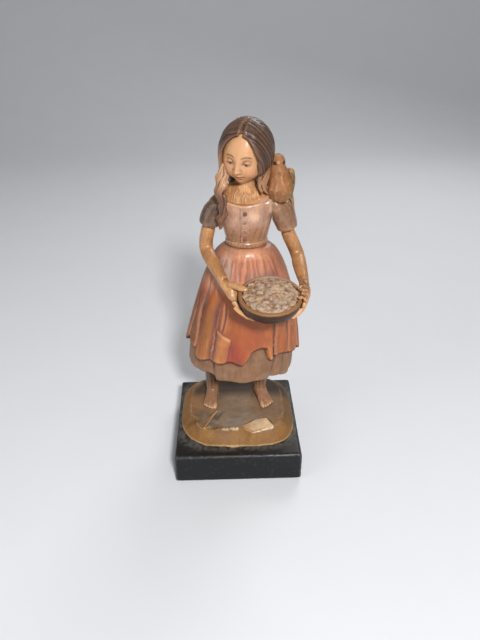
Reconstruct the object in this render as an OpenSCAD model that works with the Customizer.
// Carved and painted wooden figurine: a barefoot girl in a ragged skirt, with a bowl of grain in her
// hands and a bird on her shoulder, on a square black plinth.
// Millimetres, +Z up, front at -Y, origin under the middle of the plinth. Right and left are the girl's own.

/* [Plinth] */
// Side of the square plinth
plinth_w = 30; // [29:0.5:36]
// Height of the plinth
plinth_h = 8; // [6:0.5:12]
// Chamfer round the plinth's edges
plinth_chamfer = 0.5; // [0.2:0.1:1]

/* [Ground] */
// Width of the carved ground
ground_w = 28.4; // [26:0.2:29]
// Depth of the carved ground
ground_d = 26; // [24:0.2:27]
// Height of the ground where she stands
ground_h = 3.6; // [2.6:0.1:5]
// Width of the sloping band round the ground
ground_slope = 3.2; // [2:0.1:4.5]
// Height of the raised stone and ridge on the ground
stone_h = 0.9; // [0.4:0.1:1.6]

/* [Stance] */
// How far she stands behind the plinth's middle
stance_back = 4.5; // [3.5:0.1:5.5]
// Sideways lean of the body at the waist
lean = 2.7; // [0:0.1:4]
// Distance between the ankles
ankle_gap = 12.2; // [10:0.2:14]
// Outward turn of the right foot
toe_out_right = 8; // [0:1:20]
// Outward turn of the left foot
toe_out_left = 18; // [0:1:28]

/* [Feet] */
// Length from the ankle to the toe tips
foot_reach = 6.4; // [5:0.1:8]
// Width across the ball of the foot
foot_w = 3.6; // [3:0.1:4.4]
// How deep the soles are let into the ground
foot_sink = 0.6; // [0.3:0.1:1]
// Ankle thickness
ankle_d = 3.2; // [2.8:0.1:3.8]
// Leg thickness at the petticoat
calf_d = 3.8; // [3.4:0.1:5]

/* [Petticoat] */
// Clear height under the petticoat's hem
hem_gap = 9.2; // [7:0.1:11]
// Width at the hem
petticoat_w = 26.6; // [25:0.2:28]
// Depth at the hem
petticoat_d = 17.4; // [15:0.2:18]
// Height from the hem to the top of the plug inside the skirt
petticoat_h = 17; // [14:0.5:20]
// Wall left round the hollow under the hem
hem_wall = 1.4; // [1:0.1:2]
// Depth of the hollow under the hem
hem_hollow = 2.2; // [1:0.1:3.5]

/* [Overskirt] */
// Length from the waist to the hem
skirt_l = 26.6; // [24:0.2:28]
// Width at the hem
skirt_w = 29.4; // [28.6:0.2:31]
// Depth at the hem
skirt_d = 20.6; // [20:0.2:22]
// Bell shape of the skirt, 1 for a straight cone
skirt_flare = 0.5; // [0.4:0.05:0.7]
// Depth of the carved folds at the hem
fold_h = 1; // [0.4:0.1:1.4]
// Height of the torn notch in the front hem
tear_h = 3.4; // [2:0.2:5]
// Thickness of the skirt over the petticoat's plug
skirt_wall = 1.6; // [1.2:0.1:2.2]

/* [Waistband] */
// Height of the waist above the ground
waist_h = 42; // [40:0.5:45]
// Width of the waistband
belt_w = 9.2; // [8:0.1:10.4]
// Depth of the waistband
belt_d = 7.8; // [7:0.1:9]
// Height of the waistband
belt_h = 1.5; // [1:0.1:2.2]

/* [Bodice] */
// Width across the chest
chest_w = 11.4; // [10.4:0.2:12.4]
// Depth through the chest
chest_d = 8.8; // [8:0.2:9.8]
// Height from the waistband to the base of the neck
torso_h = 12; // [11:0.2:13.5]
// Height from the waistband to the front of the neckline
neckline_h = 8.6; // [7.6:0.1:9.4]
// Upward tilt of the neckline towards the back
neckline_tilt = 10; // [4:1:16]
// Thickness of the bodice over the skin
cloth_t = 0.3; // [0.2:0.05:0.5]
// Diameter of a button
button_d = 0.9; // [0.7:0.05:1.2]
// Distance of the first button below the neckline
button_top = 1.8; // [1:0.1:2.4]
// Distance of the last button above the waistband
button_low = 0.9; // [0.7:0.1:1.6]
// Sideways place of the buttons from the body's axis
button_side = -0.5; // [-1:0.1:0.5]

/* [Sleeves] */
// Thickness of the right sleeve at its puff
right_puff_d = 4.9; // [4.6:0.1:5.6]
// Thickness of the left sleeve at its puff
left_puff_d = 5.6; // [5:0.1:6.2]
// Thickness of a sleeve at its hem
cuff_d = 4.5; // [4.2:0.1:5]
// Reach of the right sleeve's hem from the body's axis
right_cuff_out = 8.1; // [7.6:0.1:9]
// Reach of the left sleeve's hem from the body's axis
left_cuff_out = 8.9; // [8.2:0.1:9.8]
// Drop of the right sleeve's hem below the base of the neck
right_cuff_drop = 8.8; // [8:0.1:9.6]
// Drop of the left sleeve's hem below the base of the neck
left_cuff_drop = 10; // [9:0.1:11]

/* [Arms] */
// Upper arm thickness
arm_d = 3.3; // [2.8:0.1:3.7]
// Wrist thickness
wrist_d = 2.4; // [2:0.1:2.8]
// Finger thickness
finger_d = 1.15; // [0.9:0.05:1.4]
// Reach of the right elbow from the body's axis
right_elbow_out = 9.1; // [8.4:0.1:10]
// Reach of the left elbow from the body's axis
left_elbow_out = 11.4; // [10.6:0.1:12.4]
// Height of the right elbow above the waist
right_elbow_h = -0.9; // [-2.4:0.1:0.4]
// Height of the left elbow above the waist
left_elbow_h = -2.6; // [-4:0.1:-1]

/* [Bowl] */
// Outer diameter of the bowl
bowl_d = 13.6; // [12:0.2:15]
// Height of the bowl
bowl_h = 4.8; // [4:0.1:6]
// Thickness of the bowl's wall
bowl_wall = 0.9; // [0.6:0.1:1.2]
// Forward tilt of the bowl
bowl_tilt = 11; // [4:1:16]
// Drop of the bowl's rim below the waist
bowl_drop = 6; // [5:0.1:7.5]
// Sideways place of the bowl from the body's axis
bowl_side = 4.5; // [3.5:0.1:5.5]
// Height of the heap of grain over the rim
grain_h = 1.1; // [0.6:0.1:1.8]

/* [Head] */
// Width of the head without the hair
head_w = 9.8; // [9:0.1:11]
// Depth of the head without the hair
head_d = 11.2; // [10:0.1:12.4]
// Height of the head without the hair
head_h = 12.4; // [11.6:0.1:13.4]
// Height of the head's middle above the base of the neck
head_rise = 6.5; // [6.2:0.1:7.4]
// Forward nod of the head
head_nod = 14; // [4:1:22]
// Turn of the head to her right
head_turn = 20; // [0:1:30]
// Sideways tilt of the head
head_tilt = 6; // [0:1:12]
// Thickness of the neck
neck_d = 4.6; // [4:0.1:5.4]
// Width of the face between the hair
face_w = 7.9; // [7:0.1:8.4]
// Height of the hairline's point above the head's middle
face_top = 5.25; // [4.6:0.05:5.6]
// Height of the hairline's arch
face_arch = 6.2; // [5:0.1:7]
// Thickness of the hair over the skull
hair_t = 0.95; // [0.7:0.05:1.3]
// Thickness of the lock on the right shoulder
lock_d = 2; // [1.6:0.1:2.6]

/* [Bird] */
// Thickness of the bird's body
bird_d = 6.2; // [5.4:0.1:6.8]
// Height of the bird from its seat in the shoulder to the crown
bird_h = 10.2; // [9.4:0.1:11]
// Diameter of the bird's head
bird_head_d = 3.2; // [2.6:0.1:3.6]
// Reach of the bird's middle from the body's axis
bird_out = 7; // [6.4:0.1:7.8]

/* [Joints] */
// Diameter of the wire pins in the legs
pin_d = 1.2; // [1:0.1:1.5]
// Depth of the leg pins in the plinth
pin_seat = 4; // [2:0.5:5]
// Diameter of the wooden dowels
dowel_d = 2; // [1.6:0.1:2.4]
// Length of a dowel in each of the pieces it joins
dowel_seat = 3; // [2:0.2:3.6]
// Radial clearance of pins and dowels in their bores
dowel_fit = 0.05; // [0.03:0.01:0.1]
// Diameter of the round tenon on top of each arm
tenon_d = 1.8; // [1.4:0.1:2.2]
// Length of that tenon
tenon_l = 2.2; // [1.6:0.1:3]
// Gap for glue between carved pieces that touch
glue_gap = 0.06; // [0.04:0.01:0.15]

/* [Hidden] */

RIGHT = -1;
LEFT = 1;
FRONT = 270;
FAR = 60;

black_stain = "#26262a";
ochre = "#94703f";
skin = "#c8955f";
taupe = "#8f6b50";
orange = "#b4693f";
rose_grey = "#b08b78";
brown_hair = "#6b4e3e";
bare_wood = "#d8b98a";
steel = "#9a9a9a";
button_red = "#7c2f2c";
grain_tan = "#b09274";
bowl_brown = "#8a6040";

ground_top = plinth_h + ground_h;
petticoat_hem = ground_top + hem_gap;
plug_top = petticoat_hem + petticoat_h;
waist = ground_top + waist_h;
skirt_hem = waist - skirt_l;
belt_top = waist + belt_h;
neck_base = belt_top + torso_h;
neckline = belt_top + neckline_h;
bowl_r = bowl_d / 2;
bore_d = dowel_d + 2 * dowel_fit;
ground_shift = 1;
button_count = 4;

// Curves and blends

function lerp(a, b, t) = a + (b - a) * t;
function clamp01(t) = min(max(t, 0), 1);
function ease(t) = let (s = clamp01(t)) s * s * (3 - 2 * s);
function bump(x, at, width) = exp(-pow((x - at) / width, 2));
function turn_between(a, b) = let (d = (a - b + 540) % 360 - 180) d;
function unit(v) = v / norm(v);

// A smooth curve through a few keys, from s = 0 at the first to s = 1 at the last
function blend4(a, b, c, d, t) =
    0.5 * (2 * b + (c - a) * t + (2 * a - 5 * b + 4 * c - d) * t * t + (3 * b - a - 3 * c + d) * t * t * t);
function along(keys, s) =
    let (n = len(keys) - 1, x = clamp01(s) * n, i = min(floor(x), n - 1))
    blend4(keys[max(i - 1, 0)], keys[i], keys[i + 1], keys[min(i + 2, n)], x - i);

// Solids from rings of points

function middle(ring) = [for (k = [0:2]) [for (p = ring) p[k]] * [for (p = ring) 1] / len(ring)];

// Closed skin over rings that run anticlockwise about the way they climb
module loft(rings) {
    n = len(rings[0]);
    m = len(rings);
    points = concat([for (r = rings) each r], [middle(rings[0]), middle(rings[m - 1])]);
    sides = [for (j = [0:m - 2]) for (i = [0:n - 1]) let (k = (i + 1) % n)
        each [[j * n + i, (j + 1) * n + i, (j + 1) * n + k], [j * n + i, (j + 1) * n + k, j * n + k]]];
    ends = [for (i = [0:n - 1]) let (k = (i + 1) % n)
        each [[m * n, i, k], [m * n + 1, (m - 1) * n + k, (m - 1) * n + i]]];
    polyhedron(points, concat(sides, ends));
}

// Tapered round limb through keys of [x, y, z, radius], wider by stretch across the given side
function limb_rings(keys, steps, sides, side = [1, 0.2, 0.1], stretch = 1) =
    [for (j = [0:steps]) let (
        s = j / steps,
        k = along(keys, s),
        a = along(keys, s - 0.02),
        b = along(keys, s + 0.02),
        t = unit([b.x - a.x, b.y - a.y, b.z - a.z]),
        u = unit(cross(side, t)),
        w = cross(t, u))
        [for (i = [0:sides - 1]) let (c = 360 * i / sides)
            [k.x, k.y, k.z] + k[3] * (u * cos(c) + w * sin(c) * stretch)]];
module limb(keys, steps = 8, sides = 12, side = [1, 0.2, 0.1], stretch = 1)
    loft(limb_rings(keys, steps, sides, side, stretch));

// Rounded pebble with its own three half sizes
module pebble(at, half, sides = 14, rings = 8)
    loft([for (j = [0:rings]) let (c = lerp(-86, 86, j / rings))
        [for (i = [0:sides - 1]) let (a = 360 * i / sides)
            at + [half.x * cos(c) * cos(a), half.y * cos(c) * sin(a), half.z * sin(c)]]]);

// Everything on the far side of a plane through a point
module beyond(at, way)
    translate(at) rotate([0, acos(way.z / norm(way)), atan2(way.y, way.x)])
        translate([-FAR, -FAR, 0]) cube([2 * FAR, 2 * FAR, 2 * FAR]);

// Round bar from a point along a direction
module bar(at, way, d, l)
    translate(at) rotate([0, acos(way.z / norm(way)), atan2(way.y, way.x)]) cylinder(d = d, h = l, $fn = 48);

// One carved form, cut and joined as a single skin
module carved() resize([0, 0, 0]) union() children();

// The body's line

function axis_x(z) = lean * sin(90 * clamp01((z - ground_top) / waist_h));
function axis_at(z) = [axis_x(z), stance_back, z];

// Plinth and ground

module plinth() color(black_stain) difference() {
    translate([0, 0, plinth_h / 2]) hull() {
        for (c = [0, plinth_chamfer])
            cube([plinth_w - 2 * c, plinth_w - 2 * c, plinth_h - 2 * (plinth_chamfer - c)], center = true);
    }
    leg_pin_bores();
}

// The outline is squarer at the back and rounder at the front corner on her right
function ground_power(a) = 4.2 - 1.5 * bump(turn_between(a, FRONT - 45), 0, 45);
function ground_edge(a, inset) = let (
    x = abs(cos(a)) / (ground_w / 2 - inset),
    y = abs(sin(a)) / (ground_d / 2 - inset),
    n = ground_power(a))
    1 / pow(pow(x, n) + pow(y, n), 1 / n);

function ground_ring(inset, z, wave = 0) = [for (a = [0:8:352]) let (
    r = ground_edge(a, inset),
    x = r * cos(a),
    y = r * sin(a) + ground_shift)
    [x, y, z - wave * (1 + sin(67 * x) * cos(53 * y))]];

// Knife cuts round the front rim: [direction, inset of the cut as a share of the sloping band]
ground_cuts = [[196, 0.47], [226, 0.75], [252, 0.5], [283, 0.69], [309, 0.84], [338, 0.5]];
module ground_cut(a, r)
    beyond([r * cos(a), r * sin(a) + ground_shift, ground_top - ground_h / 3], [cos(a), sin(a), 0.95]);

module ground_mound() {
    difference() {
        loft([ground_ring(0, plinth_h), ground_ring(ground_slope * 0.03, plinth_h + ground_h * 0.22),
            ground_ring(ground_slope * 0.28, plinth_h + ground_h * 0.55, ground_h * 0.03),
            ground_ring(ground_slope * 0.8, ground_top, ground_h * 0.04),
            ground_ring(ground_slope * 1.47, ground_top)]);
        for (c = ground_cuts)
            ground_cut(c[0], ground_edge(c[0], c[1] * ground_slope));
    }
}

// A chip of bark with a ridge at her right, and a flat stone that tilts to the front.
// Their corners are shares of the ground's half width and half depth
bark_foot = [[-0.65, -0.6], [-0.5, -0.76], [-0.24, -0.16], [-0.39, -0.23]];
bark_ridge = [[-0.58, -0.62], [-0.35, -0.23]];
stone_foot = [[0.08, -0.56], [0.42, -0.34], [0.72, -0.59], [0.65, -0.72], [0.18, -0.865]];
stone_plan = [[0.17, -0.52], [0.42, -0.41], [0.6, -0.64], [0.23, -0.79]];
relief_root = ground_h * 0.42;
post_d = 0.3;

// Thin posts at the corners of a plan, lower towards the front by the tilt
module posts(plan, h, tilt = 0)
    for (p = plan)
        translate([p.x * ground_w / 2, p.y * ground_d / 2, ground_top - relief_root])
            cylinder(d = post_d, h = relief_root + h + tilt * p.y, $fn = 8);

module ground_relief() {
    hull() {
        posts(bark_foot, -stone_h * 0.1);
        posts(bark_ridge, stone_h * 0.5);
    }
    hull() {
        posts(stone_foot, -relief_root * 0.6);
        posts(stone_plan, stone_h * 0.75, stone_h * 1.1);
    }
}

module ground() color(ochre) difference() {
    carved() difference() {
        union() {
            ground_mound();
            ground_relief();
        }
        for (side = [RIGHT, LEFT])
            sole(side, glue_gap);
    }
    leg_pin_bores();
}

// Feet and legs

function ankle_at(side) = [side * ankle_gap / 2, stance_back - ankle_d / 8, ground_top];
function toe_out(side) = side == RIGHT ? toe_out_right : toe_out_left;

// Foot stations: [distance ahead of the ankle, half width, height over the ground]
function foot_keys() = [[-ankle_d * 0.78, ankle_d * 0.16, ankle_d * 0.22],
    [-ankle_d * 0.53, ankle_d * 0.42, ankle_d * 0.63], [0, ankle_d / 2, ankle_d * 1.13],
    [foot_reach * 0.3, foot_w * 0.44, ankle_d * 0.78],
    [foot_reach * 0.55, foot_w / 2, ankle_d / 2], [foot_reach * 0.76, foot_w * 0.46, ankle_d * 0.3]];

function foot_rings(steps, sides) = [for (j = [0:steps]) let (k = along(foot_keys(), j / steps))
    [for (i = [0:sides - 1]) let (a = 360 * i / sides, half = (k[2] + foot_sink) / 2)
        [k[1] * cos(a), -k[0], half - foot_sink + half * sin(a)]]];

// Toes: the big one is on the inner side
module toes(side)
    for (i = [0:4]) {
        thick = i == 0 ? foot_w * 0.19 : foot_w * (0.14 - 0.008 * i);
        x = -side * foot_w * (0.37 - 0.195 * i);
        tip = foot_reach * (1 - 0.012 * i * i) - thick;
        limb([[x * 0.85, -foot_reach * 0.6, thick * 0.9, thick], [x, -foot_reach * 0.8, thick * 0.85, thick],
            [x, -tip, thick * 0.45, thick * 0.9], [x, -tip - thick * 0.8, thick * 0.3, thick * 0.3]], 3, 6);
    }

module place_foot(side) translate(ankle_at(side)) rotate([0, 0, side * toe_out(side)]) children();

// The sole, a little narrower than the foot, is let into a pocket of its own outline
sole_share = 0.62;
function sole_edge(s, way, grow) = let (k = along(foot_keys(), s)) [way * (k[1] * sole_share + grow), -k[0]];
module sole(side, grow)
    place_foot(side) translate([0, 0, -foot_sink - grow]) linear_extrude(foot_sink * 1.5 + 2 * grow)
        polygon(concat([for (j = [1:7]) sole_edge(j / 8, 1, grow)],
            [for (j = [7:-1:1]) sole_edge(j / 8, -1, grow)]));

module foot_form(side) {
    difference() {
        place_foot(side) {
            loft(foot_rings(8, 12));
            toes(side);
        }
        beyond([0, 0, ground_top + glue_gap], [0, 0, -1]);
    }
    sole(side, 0);
}

module leg_form(side) {
    top = petticoat_hem + hem_hollow;
    at = ankle_at(side);
    difference() {
        limb([for (k = [[0.08, ankle_d * 0.46], [0.24, ankle_d * 0.5], [0.52, calf_d * 0.47],
            [1.08, calf_d * 0.5]]) [at.x, at.y, lerp(ground_top, top, k[0]), k[1]]], 4, 11);
        beyond([0, 0, top], [0, 0, 1]);
    }
}

module foot(side) color(skin) difference() {
    carved() {
        foot_form(side);
        leg_form(side);
    }
    leg_pin_bores();
}

module leg_pin_bores()
    for (side = [RIGHT, LEFT])
        leg_pin(side, pin_d + 2 * dowel_fit, dowel_fit);

module leg_pin(side, d, spare) {
    low = plinth_h - pin_seat - spare;
    high = petticoat_hem + hem_hollow + pin_seat + spare;
    at = ankle_at(side);
    translate([at.x, at.y, low]) cylinder(d = d, h = high - low, $fn = 48);
}

module leg_pins() color(steel)
    for (side = [RIGHT, LEFT])
        leg_pin(side, pin_d, 0);

// Skirts

// Half width or half depth of the bell at a drop below the waist
function bell(drop, waist_half, hem_half) =
    lerp(waist_half, hem_half, pow(clamp01(drop / skirt_l), skirt_flare));

// Carved grooves: [direction, share of the full depth, half width in degrees]
back_folds = [-2, 22, 47, 74, 101, 129, 155, 179];
front_grooves = [[196, 0.6, 6], [212, 0.8, 5], [223, 0.5, 4], [237, 1, 5], [256, 0.35, 5], [304, 1, 4],
    [323, 0.8, 5], [341, 0.7, 6]];
back_grooves = [for (i = [0:len(back_folds) - 1]) [back_folds[i], i % 2 == 0 ? 0.75 : 1, 6]];
skirt_grooves = concat(back_grooves, front_grooves);
petticoat_grooves = [[30, 0.8, 9], [70, 0.8, 9], [110, 0.8, 9], [150, 0.8, 9], [186, 0.7, 8], [214, 0.5, 6],
    [237, 1, 5], [292, 0.5, 5], [308, 0.7, 5], [322, 0.6, 5], [345, 0.7, 7]];
function grooves(list, a) = max([for (g = list) g[1] * bump(turn_between(a, g[0]), 0, g[2])]);

// The torn hem: a square notch in the front, a rising right side and small rags
tear_from = 271;
tear_to = 298;
function hem_lift(a) = tear_h * (
    ease((a - tear_from) / 6) * ease((tear_to - a) / 4)
    + 1.18 * bump(turn_between(a, 192), 0, 15)
    + 0.41 * bump(turn_between(a, 312), 0, 8)
    + 0.1 * sin(a * 9) + 0.09 * sin(a * 14 + 40));

// Small gathers under the front of the waistband
function gathers(a, drop) = 0.22 * fold_h * (0.5 - 0.5 * cos(23 * a))
    * bump(drop / skirt_l, 0.11, 0.1) * bump(turn_between(a, FRONT), 0, 70);

// Points round the skirt: three to each fold behind, and closer together in front
skirt_turns = concat([for (a = back_folds) each [a - 8, a, a + 8]], [for (a = [198:4:338]) a]);
function skirt_ring(t) = [for (a = skirt_turns) let (
    low = skirt_hem + hem_lift(a),
    z = lerp(waist, low, t * t),
    drop = waist - z,
    in = fold_h * grooves(skirt_grooves, a) * pow(drop / skirt_l, 0.7) + gathers(a, drop),
    x = axis_x(z) + (bell(drop, belt_w / 2, skirt_w / 2) - in) * cos(a),
    y = stance_back + (bell(drop, belt_d / 2, skirt_d / 2) - in) * sin(a))
    [x, y, z]];

skirt_steps = 10;
module skirt_form() loft([for (j = [skirt_steps:-1:0]) skirt_ring(j / skirt_steps)]);

// The petticoat's hem is lifted on the right, with a step at the front fold, and drops on the left
function petticoat_lift(a) = hem_gap * (
    0.2 * ease((a - 160) / 20) * ease((241 - a) / 5)
    - 0.11 * bump(turn_between(a, 338), 0, 16)
    + 0.024 * sin(a * 6 + 20) + 0.02 * sin(a * 13));

petticoat_fold = 0.7 * fold_h;

// Half size of the petticoat: its own at the hem, and inside the skirt no more than the skirt has room for
function under_skirt(drop, half, waist_half, hem_half) = let (
    room = bell(drop, waist_half, hem_half) - fold_h - skirt_wall / 2,
    below = ease((drop - skirt_l) / (waist - petticoat_hem - skirt_l)))
    min(half, room) + max(half - room, 0) * below;

// The petticoat hangs below the skirt's hem and narrows to a plug above it
function petticoat_ring(t, grow = 0) = [for (a = [0:9:351]) let (
    z = lerp(petticoat_hem + petticoat_lift(a) * (1 - t), plug_top, t),
    drop = waist - z,
    in = petticoat_fold * grooves(petticoat_grooves, a) * (1 - ease(t * 2.2)) - grow,
    half_x = under_skirt(drop, petticoat_w / 2, belt_w / 2, skirt_w / 2),
    half_y = under_skirt(drop, petticoat_d / 2, belt_d / 2, skirt_d / 2))
    [axis_x(z) + (half_x - in) * cos(a), stance_back + (half_y - in) * sin(a), z]];

petticoat_steps = 7;
hem_inset = hem_wall + petticoat_fold;
module petticoat_form(grow = 0)
    loft([for (j = [0:petticoat_steps]) petticoat_ring(j / petticoat_steps, grow)]);

function oval_ring(z, w, d) =
    [for (a = [0:12:348]) axis_at(z) + [w / 2 * cos(a), d / 2 * sin(a), 0]];

module petticoat() color(taupe) difference() {
    carved() difference() {
        petticoat_form();
        loft([for (z = [petticoat_hem - 2 * hem_hollow, petticoat_hem + hem_hollow])
            oval_ring(z, petticoat_w - 2 * hem_inset, petticoat_d - 2 * hem_inset)]);
    }
    leg_pin_bores();
}

module overskirt() color(orange) difference() {
    carved() difference() {
        skirt_form();
        petticoat_form(glue_gap);
        translate([0, 0, petticoat_hem - FAR])
            loft([for (z = [0, FAR]) oval_ring(z, petticoat_w, petticoat_d)]);
    }
    waist_dowel_bar(bore_d, dowel_fit);
}

// Waistband and bodice

module waistband() color(rose_grey) difference() {
    carved() loft([for (k = [[0, -0.13], [0.3, 0.27], [0.7, 0.27], [1, -0.13]])
        oval_ring(waist + k[0] * belt_h, belt_w + k[1] * belt_h, belt_d + k[1] * belt_h)]);
    waist_dowel_bar(bore_d, dowel_fit);
}

module waist_dowel_bar(d, spare)
    translate(axis_at(waist) - [0, 0, dowel_seat + spare])
        cylinder(d = d, h = 2 * (dowel_seat + spare) + belt_h, $fn = 48);

module waist_dowel() color(bare_wood) waist_dowel_bar(dowel_d, 0);

// Torso stations: [share of its height, half width, half depth, forward shift]
function torso_keys() = [[0, belt_w * 0.478, belt_d * 0.474, 0],
    [0.32, lerp(belt_w, chest_w, 0.55) / 2, lerp(belt_d, chest_d, 0.5) / 2, chest_d * 0.011],
    [0.6, chest_w * 0.5, chest_d * 0.5, chest_d * 0.028],
    [0.8, chest_w * 0.509, chest_d * 0.443, chest_d * 0.011],
    [0.92, chest_w * 0.421, chest_d * 0.364, -chest_d * 0.011],
    [1, neck_d * 0.696, neck_d * 0.565, -chest_d * 0.023]];

function torso_ring(s, grow) = let (k = along(torso_keys(), s), z = belt_top + torso_h * k[0])
    [for (a = [0:10:350]) axis_at(z) + [(k[1] + grow) * cos(a), (k[2] + grow) * sin(a) - k[3], 0]];

torso_steps = 10;
module torso_form(grow) loft([for (j = [0:torso_steps]) torso_ring(j / torso_steps, grow)]);

neckline_at = [axis_x(neckline), stance_back - chest_d / 2, neckline];
neckline_way = [0, -sin(neckline_tilt), cos(neckline_tilt)];

function front_of_chest(z) = let (
    s = (z - belt_top) / torso_h,
    k = lookup(s, [for (t = torso_keys()) [t[0], t[2] + t[3]]]))
    stance_back - k;

button_seat = button_d * 1.1;
button_shank = button_d * 0.3;
button_pitch = (neckline_h - button_top - button_low) / (button_count - 1);
function button_at(i) = let (z = neckline - button_top - i * button_pitch)
    [axis_x(z) + button_side, front_of_chest(z) - cloth_t, z];

module bodice() color(rose_grey) difference() {
    carved() difference() {
        torso_form(cloth_t);
        beyond(neckline_at, neckline_way);
        hair_lock_form(glue_gap);
    }
    waist_dowel_bar(bore_d, dowel_fit);
    neck_dowel_bar(bore_d, dowel_fit);
    for (side = [RIGHT, LEFT])
        shoulder_dowel(side, bore_d, dowel_fit);
    for (i = [0:button_count - 1])
        bar(button_at(i) + [0, button_seat + dowel_fit, 0], [0, -1, 0],
            2 * (button_shank + dowel_fit), 2 * button_seat);
}

module buttons() color(button_red)
    for (i = [0:button_count - 1])
        translate(button_at(i)) rotate([90, 0, 0]) rotate_extrude($fn = 32)
            polygon(concat([[0, -button_seat], [button_shank, -button_seat]],
                [for (k = [[0.3, 0.22], [0.5, 0.22], [0.5, 0.36], [0.36, 0.5], [0, 0.5]]) k * button_d]));

// Sleeves

function cuff_out(side) = side == RIGHT ? right_cuff_out : left_cuff_out;
function cuff_drop(side) = side == RIGHT ? right_cuff_drop : left_cuff_drop;
function shoulder_at(side) =
    let (z = neck_base - torso_h * 0.2) axis_at(z) + [side * chest_w * 0.36, 0, 0];
function cuff_at(side) =
    let (z = neck_base - cuff_drop(side)) axis_at(z) + [side * cuff_out(side), -chest_d * 0.1, 0];
function cuff_way(side) = unit([side * 0.25, -0.05, -1]);

function puff_d(side) = side == RIGHT ? right_puff_d : left_puff_d;
function key(p, r) = [p.x, p.y, p.z, r];
function sleeve_keys(side) = let (
    s = shoulder_at(side),
    c = cuff_at(side),
    w = cuff_way(side) * cuff_d * 0.27,
    puff = puff_d(side),
    m = lerp(s, c, 0.5) + [side * (puff - cuff_d) * 0.7, 0, puff * 0.13])
    [key(s, puff * 0.34), key(m, puff * 0.5),
        key(c - w, cuff_d * 0.556), key(c, cuff_d * 0.5), key(c + w, cuff_d * 0.456)];

module sleeve_form(side) difference() {
    limb(sleeve_keys(side), 9, 16, [0, 1, 0], 1.12);
    beyond(cuff_at(side), cuff_way(side));
}

module sleeve(side) color(rose_grey) difference() {
    carved() difference() {
        sleeve_form(side);
        torso_form(cloth_t + glue_gap);
        hair_lock_form(glue_gap);
    }
    shoulder_dowel(side, bore_d, dowel_fit);
    arm_tenon(side, tenon_d + 2 * dowel_fit, dowel_fit);
    if (side == LEFT)
        bird_peg_bar(bore_d, dowel_fit);
}

// Each shoulder dowel crosses the seam between the bodice and a sleeve
module shoulder_dowel(side, d, spare) {
    z = belt_top + torso_h * 0.62;
    seat = dowel_seat * 0.62;
    middle_x = chest_w / 2 + cloth_t;
    translate(axis_at(z) + [side * (middle_x - seat - spare), 0, 0]) rotate([0, side * 90, 0])
        cylinder(d = d * 0.75, h = 2 * (seat + spare), $fn = 48);
}

module shoulder_dowels() color(bare_wood)
    for (side = [RIGHT, LEFT])
        shoulder_dowel(side, dowel_d, 0);

// Arms and hands

tenon_root = 0.6;
module arm_tenon(side, d, spare)
    bar(cuff_at(side) + cuff_way(side) * tenon_root, -cuff_way(side), d, tenon_root + tenon_l + spare);

// The bowl stands just clear of the skirt's front
bowl_clear = 0.4;
bowl_z = waist - bowl_drop;
bowl_at = [axis_x(bowl_z) + bowl_side,
    stance_back - bell(bowl_drop - bowl_r * sin(bowl_tilt), belt_d / 2, skirt_d / 2) - bowl_clear
    - bowl_r * cos(bowl_tilt), bowl_z];

// A key by the bowl: direction round it, then distance out from its rim, height over its rim and radius,
// all in finger thicknesses
function by_bowl(a, out, up) = let (
    r = bowl_r + out * finger_d,
    y = r * sin(a),
    z = up * finger_d,
    c = cos(bowl_tilt),
    s = sin(bowl_tilt))
    bowl_at + [r * cos(a), y * c - z * s, y * s + z * c];
function key_by_bowl(a, out, up, r) = key(by_bowl(a, out, up), r * finger_d);
palm = wrist_d / finger_d;

function elbow_at(side) = let (z = waist + (side == RIGHT ? right_elbow_h : left_elbow_h))
    [axis_x(z) + side * (side == RIGHT ? right_elbow_out : left_elbow_out), stance_back, z];
right_wrist = by_bowl(155, 3.4, 0.17);
left_wrist = by_bowl(29, 1.65, -0.35);
function wrist_at(side) = side == RIGHT ? right_wrist : left_wrist;

function arm_keys(side) = let (
    c = cuff_at(side),
    w = cuff_way(side) * arm_d * 0.3,
    e = elbow_at(side),
    h = wrist_at(side),
    f = lerp(e, h, 0.45) - [0, 0, arm_d * 0.09])
    [key(c - w, arm_d / 2), key(c + w, arm_d / 2), key(e, arm_d / 2), key(f, arm_d / 2), key(h, wrist_d / 2)];

// The right hand holds the bowl from the side: palm outside, fingers below, thumb over the rim
module right_hand() {
    limb([key_by_bowl(153, 4, 0.17, palm * 0.4), key_by_bowl(160, 1.9, -0.7, palm * 0.6),
        key_by_bowl(167, 0.8, -1.75, palm * 0.56), key_by_bowl(172, -0.17, -2.6, 0.7)],
        5, 10, [0, 0, 1], 0.8);
    for (i = [0:3]) {
        a = 156 + 13 * i;
        limb([key_by_bowl(a - 4, 0.8, -1.65, 0.55), key_by_bowl(a + 6, -0.43, -2.95, 0.55),
            key_by_bowl(a + 14, -2.1, -4.25, 0.5), key_by_bowl(a + 18, -2.9, -4.6, 0.4)], 4, 6);
    }
    limb([key_by_bowl(157, 2.25, 0, 0.62), key_by_bowl(163, 0.87, 0.65, 0.6),
        key_by_bowl(171, -0.78, 0.7, 0.55), key_by_bowl(175, -1.65, 0.52, 0.42)], 5, 8);
}

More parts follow.
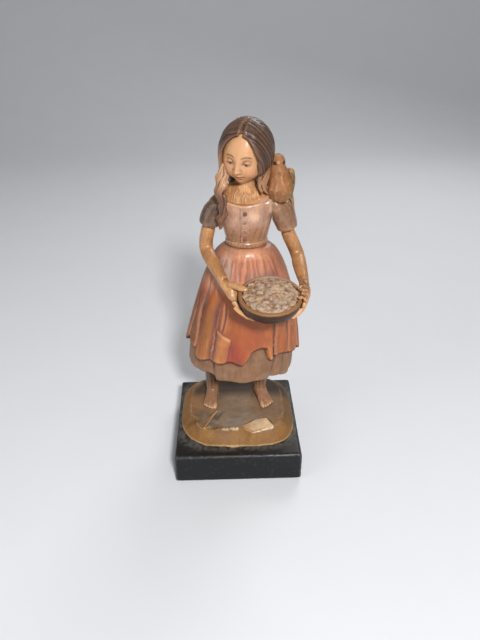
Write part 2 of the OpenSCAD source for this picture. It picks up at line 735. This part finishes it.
// The left hand curls its fingers over the rim, with the thumb below
module left_hand() {
    limb([key_by_bowl(34, 2, -0.17, palm * 0.4), key_by_bowl(19, 0.96, -0.52, palm * 0.58),
        key_by_bowl(3, 0.35, -1.04, palm * 0.54), key_by_bowl(-22, 0.17, -1.04, 0.7)], 5, 10, [0, 0, 1], 0.8);
    for (i = [0:3]) {
        a = 12 - 10 * i;
        limb([key_by_bowl(a + 3, 0.7, -0.52, 0.55), key_by_bowl(a, 0.35, 0.57, 0.55),
            key_by_bowl(a - 4, -0.78, 0.65, 0.5), key_by_bowl(a - 6, -1.57, 0.35, 0.4)], 4, 6);
    }
    limb([key_by_bowl(14, 0.87, -1.4, 0.7), key_by_bowl(-4, 0.26, -2.6, 0.7),
        key_by_bowl(-20, -0.96, -3.57, 0.6), key_by_bowl(-27, -1.74, -4.1, 0.4)], 5, 8);
}

// The bowl is cut out of the hands with few sides, so this gap holds at the flats too
hand_gap = glue_gap + 0.04;
module arm(side) color(skin) {
    carved() difference() {
        union() {
            limb(arm_keys(side), 10, 11);
            if (side == RIGHT)
                right_hand();
            else
                left_hand();
        }
        beyond(cuff_at(side), -cuff_way(side));
        place_bowl() {
            rotate_extrude($fn = 32) polygon(bowl_outline(hand_gap));
            translate([0, 0, -bowl_wall])
                cylinder(r = bowl_r - bowl_wall, h = bowl_wall + grain_h * 0.7, $fn = 30);
        }
        skirt_form();
    }
    arm_tenon(side, tenon_d, 0);
}

// Bowl and grain

module place_bowl() translate(bowl_at) rotate([bowl_tilt, 0, 0]) children();

// Radius of the bowl's outside at a share of its height from the foot, and of its hollow
function bowl_outer(t) = lerp(bowl_r * 0.42, bowl_r, sqrt(clamp01(1 - pow(1 - t, 2))));
rim_round = bowl_wall * 0.28;
groove_d = bowl_wall * 0.44;
groove_at = 0.72;
function bowl_outline(grow) = concat([[0, -bowl_h - grow]],
    [for (t = [0, 0.1, 0.35, groove_at, 1]) [bowl_outer(t) + grow, lerp(-bowl_h - grow, -rim_round, t)]],
    [[bowl_r - rim_round + grow / 2, grow], [0, grow]]);
function bowl_inside(gap) = [for (t = [1:-0.125:0])
    [max(bowl_outer(t) - bowl_wall - gap, 0), lerp(-bowl_h + bowl_wall + gap, 0, t)]];

module bowl() color(bowl_brown) place_bowl() rotate_extrude($fn = 64) difference() {
    polygon(bowl_outline(0));
    polygon(concat([[0, bowl_wall]], bowl_inside(0), [[0, -bowl_h + bowl_wall]]));
    translate([bowl_outer(groove_at) + groove_d * 0.3, lerp(-bowl_h, -rim_round, groove_at)])
        circle(d = groove_d, $fn = 24);
}

// Heaped grain: a dome of overlapping kernels on a shallow dish
grain_r = bowl_r - bowl_wall - glue_gap;
function kernel(x, y) = 0.2 * grain_h * cos(150 * x + 60 * sin(70 * y)) * cos(140 * y + 50 * sin(80 * x));
function grain_ring(s, up) = [for (a = [0:12:348]) let (
    r = max(s, 0.03) * grain_r,
    x = r * cos(a),
    y = r * sin(a),
    heap = grain_h * (1 - s * s) + kernel(x, y) * (1 - pow(s, 6)) - bowl_wall / 6,
    dish = -bowl_h * (0.23 + 0.19 * (1 - s * s)))
    [x, y, up ? heap : dish]];

module grain() color(grain_tan) place_bowl() intersection() {
    carved() loft(concat([for (s = [0, 0.6, 0.92]) grain_ring(s, false)],
        [for (s = [1:-0.125:0]) grain_ring(s, true)]));
    rotate_extrude($fn = 64) polygon(concat([[0, 2 * bowl_h]], [[grain_r, 2 * bowl_h]], bowl_inside(glue_gap),
        [[0, -bowl_h + bowl_wall + glue_gap]]));
}

// Head

head_at = [axis_x(neck_base), stance_back - neck_d * 0.26, neck_base + head_rise];
module place_head()
    translate(head_at) rotate([0, head_tilt, 0]) rotate([0, 0, -head_turn]) rotate([head_nod, 0, 0])
        children();

// Radius factor of the skull: round behind, narrower at the jaw, with brow, nose and chin
function skull(a, c) = let (
    ahead = turn_between(a, FRONT),
    jaw = 1 - 0.2 * ease((-c - 8) / 70) * (1 - 0.55 * bump(ahead, 0, 40)),
    brow = 0.02 * bump(ahead, 0, 40) * bump(c, 16, 12),
    eyes = -0.035 * (bump(ahead, 24, 13) + bump(ahead, -24, 13)) * bump(c, 2, 10),
    nose = 0.14 * bump(ahead, 0, 9) * bump(c, -16, 11) + 0.05 * bump(ahead, 0, 8) * bump(c, 0, 10),
    mouth = 0.035 * bump(ahead, 0, 16) * bump(c, -36, 8),
    chin = 0.07 * bump(ahead, 0, 26) * bump(c, -56, 13))
    jaw + brow + eyes + nose + mouth + chin;

function head_point(a, c, grow) = let (k = skull(a, c))
    [(head_w / 2 * k + grow) * cos(c) * cos(a), (head_d / 2 * k + grow) * cos(c) * sin(a),
        (head_h / 2 * k + grow) * sin(c)];

// Points over the head, closer together on the face
skull_turns = concat([for (a = [-42:22:222]) a], [for (a = [238:8:302]) a]);
skull_climb = concat([-84, -70], [for (c = [-60:8:4]) c], [14, 28, 44, 64, 84]);
module skull_form(grow = 0)
    loft([for (c = skull_climb) [for (a = skull_turns) head_point(a, c, grow)]]);

module neck_form(grow = 0)
    limb([key(axis_at(neck_base - neck_d * 0.33), neck_d / 2 + grow),
        key([head_at.x, stance_back, head_at.z - neck_d * 0.43], neck_d / 2 + grow)], 5, 16);

module head() color(skin) difference() {
    carved() {
        place_head() skull_form();
        neck_form();
        intersection() {
            torso_form(0);
            beyond(neckline_at, neckline_way);
        }
    }
    neck_dowel_bar(bore_d, dowel_fit);
}

// The neckline climbs to the back, so the dowel reaches that much higher at the neck's middle
neckline_rise = chest_d / 2 * tan(neckline_tilt);
module neck_dowel_bar(d, spare)
    translate([axis_x(neckline), stance_back, neckline - dowel_seat - spare])
        cylinder(d = d, h = 2 * (dowel_seat + spare) + neckline_rise, $fn = 48);

module neck_dowel() color(bare_wood) neck_dowel_bar(dowel_d, 0);

// Hair

// Thickness over the skull, with a middle parting and broad strands
function hair_thick(a, c) = let (
    ahead = turn_between(a, FRONT),
    parting = 0.6 * bump(ahead, 0, 8) * ease((c - 30) / 20) * ease((86 - c) / 10),
    strands = 0.13 * cos(9 * ahead) * cos(c))
    hair_t * (1 - parting + strands);

hair_turns = concat([for (a = [-40:16:216]) a], [for (a = [230:10:310]) a]);
module hair_cap()
    loft([for (c = [-74:15:31]) [for (a = hair_turns) head_point(a, c, hair_thick(a, c))],
        for (c = [43, 52, 64, 76, 87]) [for (a = hair_turns) head_point(a, c, hair_thick(a, c))]]);

// The hairline is a pointed arch, open below, through the front of the cap
module face_window() {
    half = [for (t = [0:0.1:1]) [face_w / 2 * sin(90 * t), face_top - face_arch * pow(t, 1.5)]];
    low = -head_h;
    rotate([90, 0, 0]) linear_extrude(head_d)
        polygon(concat(half, [[face_w / 2, low], [-face_w / 2, low]],
            [for (i = [10:-1:1]) [-half[i].x, half[i].y]]));
}

// Hair that falls behind the neck and spreads over the upper back
module hair_fall() {
    top = head_at + [0, head_d, -head_h] * 0.125;
    mid = axis_at(neck_base) + [0, neck_d * 0.63, neck_d * 0.11];
    tip = axis_at(neck_base - torso_h * 0.42) + [0, chest_d * 0.48, 0];
    limb([key(top, neck_d * 0.56), key(mid, neck_d * 0.48), key(tip + [0, 0, torso_h * 0.2], neck_d * 0.37),
        key(tip, neck_d * 0.15)], 6, 14, [1, 0, 0], 1.9);
}

module hair_form() {
    place_head() difference() {
        hair_cap();
        face_window();
    }
    hair_fall();
}

module hair() color(brown_hair) carved() difference() {
    hair_form();
    place_head() skull_form(glue_gap / 2);
    neck_form(glue_gap);
    torso_form(cloth_t + glue_gap);
    for (side = [RIGHT, LEFT])
        sleeve_form(side);
}

// A wavy lock from behind the right cheek over the front of the shoulder
// Its stations, in thicknesses of the lock from the corner of the chest: [out, back, up, radius]
lock_line = [[0.6, 1.1, 2.2, 0.35], [0.35, 0.6, 0.8, 0.5], [0.05, 0.15, -0.6, 0.56], [0.4, -0.1, -1.8, 0.5],
    [0.2, -0.1, -3.1, 0.54], [-0.15, 0.05, -4.2, 0.16]];
lock_root = [axis_x(neck_base) - chest_w / 2, stance_back - chest_d / 2, neck_base];
function lock_keys(grow) = [for (k = lock_line)
    key(lock_root + [k[0], k[1], k[2]] * lock_d, k[3] * lock_d + grow)];
module hair_lock_form(grow) limb(lock_keys(grow), 11, 9);

module hair_lock() color(brown_hair) carved() difference() {
    hair_lock_form(0);
    hair_form();
    place_head() skull_form(glue_gap / 2);
    torso_form(glue_gap);
}

// Bird

bird_sink = bird_h * 0.34;
bird_at = axis_at(neck_base - bird_sink) + [bird_out, -bird_d * 0.39, 0];
bird_head = bird_at + [-bird_d * 0.11, 0, bird_h - bird_head_d * 0.47];

// Bird stations: [share of its height, share of the way to the head's line, radius]
bird_keys = [[0, 0, bird_d * 0.26], [0.15, 0, bird_d * 0.44], [0.32, 0.1, bird_d * 0.5],
    [0.54, 0.5, bird_d * 0.36], [0.71, 0.9, bird_head_d * 0.46], [0.85, 1, bird_head_d * 0.5],
    [0.97, 1, bird_head_d * 0.26]];
module bird_body() {
    way = bird_head - bird_at;
    limb([for (k = bird_keys) key(bird_at + [way.x * k[1], way.y * k[1], bird_h * k[0]], k[2])], 12, 12);
}

module bird_beak()
    limb([for (k = [[0, 0, 0, 0.19], [-0.03, -0.45, -0.03, 0.13], [-0.06, -0.72, -0.12, 0.03]])
        key(bird_head + [k[0], k[1], k[2]] * bird_head_d, k[3] * bird_head_d)], 3, 6);

module bird_wings()
    for (side = [RIGHT, LEFT])
        translate(bird_at + [side * bird_d * 0.3, bird_d * 0.2, bird_h * 0.35]) rotate([14, side * 4, 0])
            pebble([0, 0, 0], [bird_d * 0.22, bird_d * 0.35, bird_d * 0.5], 10, 6);

// The tail hangs behind the sleeve
module bird_tail()
    limb([for (k = [[0.19, 0.29, 0.26, 0.18], [0.35, 0.55, -0.23, 0.15], [0.48, 0.65, -0.74, 0.1]])
        key(bird_at + [k[0], k[1], k[2]] * bird_d, k[3] * bird_d)], 5, 8, [1, 0, 0], 1.5);

module bird_form() {
    bird_body();
    bird_beak();
    bird_wings();
    bird_tail();
}

// The peg stands in the bird and in the sleeve under it
module bird_peg_bar(d, spare) {
    reach = dowel_seat * 0.6;
    at = bird_at + [bird_d * 0.21, bird_d * 0.145, bird_sink * 0.4];
    translate(at - [0, 0, reach + spare]) cylinder(d = d * 0.5, h = 2 * (reach + spare), $fn = 48);
}

module bird() color(bare_wood) difference() {
    carved() difference() {
        bird_form();
        torso_form(cloth_t + glue_gap);
        sleeve_form(LEFT);
        hair_form();
    }
    bird_peg_bar(bore_d, dowel_fit);
}

module bird_peg() color(bare_wood) bird_peg_bar(dowel_d, 0);

plinth();
ground();
leg_pins();
foot(RIGHT);  // right_foot
foot(LEFT);  // left_foot
petticoat();
overskirt();
waistband();
waist_dowel();
bodice();
buttons();
shoulder_dowels();
sleeve(RIGHT);  // right_sleeve
sleeve(LEFT);  // left_sleeve
arm(RIGHT);  // right_arm
arm(LEFT);  // left_arm
bowl();
grain();
head();
neck_dowel();
hair();
hair_lock();
bird();
bird_peg();
